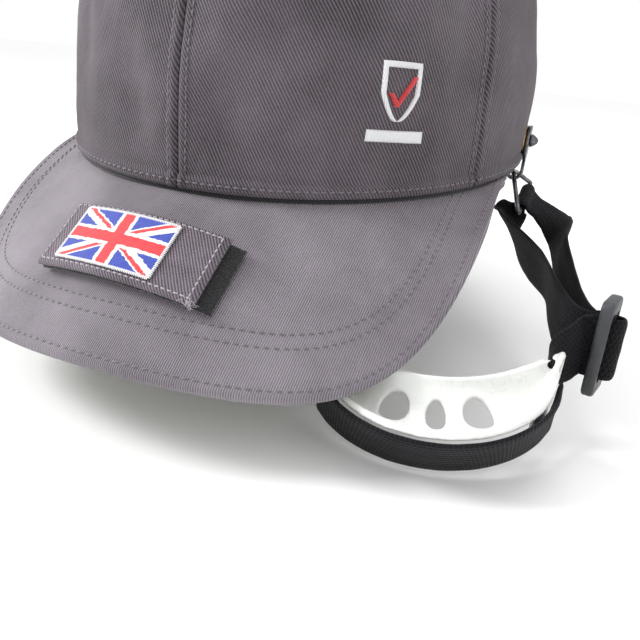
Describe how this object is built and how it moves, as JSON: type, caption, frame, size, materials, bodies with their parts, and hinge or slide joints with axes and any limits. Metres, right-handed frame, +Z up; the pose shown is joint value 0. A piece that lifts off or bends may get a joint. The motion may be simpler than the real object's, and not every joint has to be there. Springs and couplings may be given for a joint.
{
  "type": "bump cap",
  "caption": "Cloth baseball-style safety cap over a hard liner, with a flag patch on the bill and a hooked chin strap with a moulded cup.",
  "frame": {"origin": "centre of the head opening, at the height of the hem beside the ears", "axes": "+Z up through the crown, -Y toward the front of the bill, +X toward the wearer's left"},
  "size_m": [0.237, 0.261, 0.2115],
  "materials": {
    "twill": "grey cotton twill, matte",
    "underbill": "greenish grey cotton, matte",
    "lining": "dark padded cloth, matte",
    "webbing": "black woven webbing, matte",
    "tape": "black hook-and-loop tape, matte",
    "patch": "light grey twill, matte",
    "flag": "red, white and blue embroidery, soft sheen",
    "thread": "white and red embroidery, soft sheen",
    "board": "moulded stiffener, matte",
    "shell": "moulded black shell, satin",
    "foam": "closed-cell foam, matte",
    "steel": "blackened steel, satin",
    "brass": "stamped brass, satin",
    "buckle": "moulded dark grey plastic, satin",
    "cup": "translucent milky plastic, soft gloss"
  },
  "bodies": {
    "cap": {"crown_front_left": "twill", "crown_front_right": "twill", "crown_side_left": "twill", "crown_side_right": "twill", "crown_back_left": "twill", "crown_back_right": "twill", "top_button": "twill", "eyelet_side_left": "twill", "eyelet_side_right": "twill", "eyelet_back_left": "twill", "eyelet_back_right": "twill", "bill_top_cover": "twill", "bill_board": "board", "bill_under_cover": "underbill", "sweatband": "lining", "closure_tab_left": "twill", "closure_loop_strap": "webbing", "patch_loop_tape": "tape", "badge_shield": "thread", "badge_bar": "thread", "hook_eyelet_left": "brass", "hook_rivet_left": "steel", "hook_eyelet_right": "brass", "hook_rivet_right": "steel"},
    "liner": {"liner_shell": "shell", "pad_front": "foam", "pad_rear": "foam", "pad_left": "foam", "pad_right": "foam", "pad_top": "foam"},
    "rear_strap": {"closure_hook_strap": "twill"},
    "flag_patch": {"patch_hook_tape": "tape", "patch_cloth": "patch", "patch_flag": "flag"},
    "chin_strap": {"hook_plate_left": "steel", "ring_left": "steel", "hook_plate_right": "steel", "ring_right": "steel", "webbing_left_outer": "webbing", "webbing_left_inner": "webbing", "webbing_left_lead": "webbing", "webbing_right_run": "webbing"},
    "slider": {"strap_slider": "buckle"},
    "cup": {"chin_cup": "cup", "webbing_cup_front": "webbing"}
  },
  "joints": [
    {"name": "strap_swing", "type": "hinge", "parent": "cap", "child": "chin_strap", "pos_m": [0, 0.013, 0.0093], "axis": [1, 0, 0], "range_deg": [0, 35]},
    {"name": "cup_tilt", "type": "hinge", "parent": "chin_strap", "child": "cup", "pos_m": [0.0849, -0.096, -0.0526], "axis": [0.9681, 0.2436, 0.0579], "range_deg": [0, 8]},
    {"name": "slider_travel", "type": "slide", "parent": "chin_strap", "child": "slider", "axis": [0.971, -0.2377, 0.0237], "range_m": [0, 0.0018]},
    {"name": "patch_peel", "type": "slide", "parent": "cap", "child": "flag_patch", "axis": [0, -0.6135, 0.7897], "range_m": [0, 0.03]},
    {"name": "rear_strap_fold", "type": "hinge", "parent": "cap", "child": "rear_strap", "pos_m": [0.0245, 0.1022, 0.0157], "axis": [0, 0, -1], "range_deg": [0, 60]},
    {"name": "liner_pull", "type": "slide", "parent": "cap", "child": "liner", "axis": [0, 0, -1], "range_m": [0, 0.03]}
  ]
}
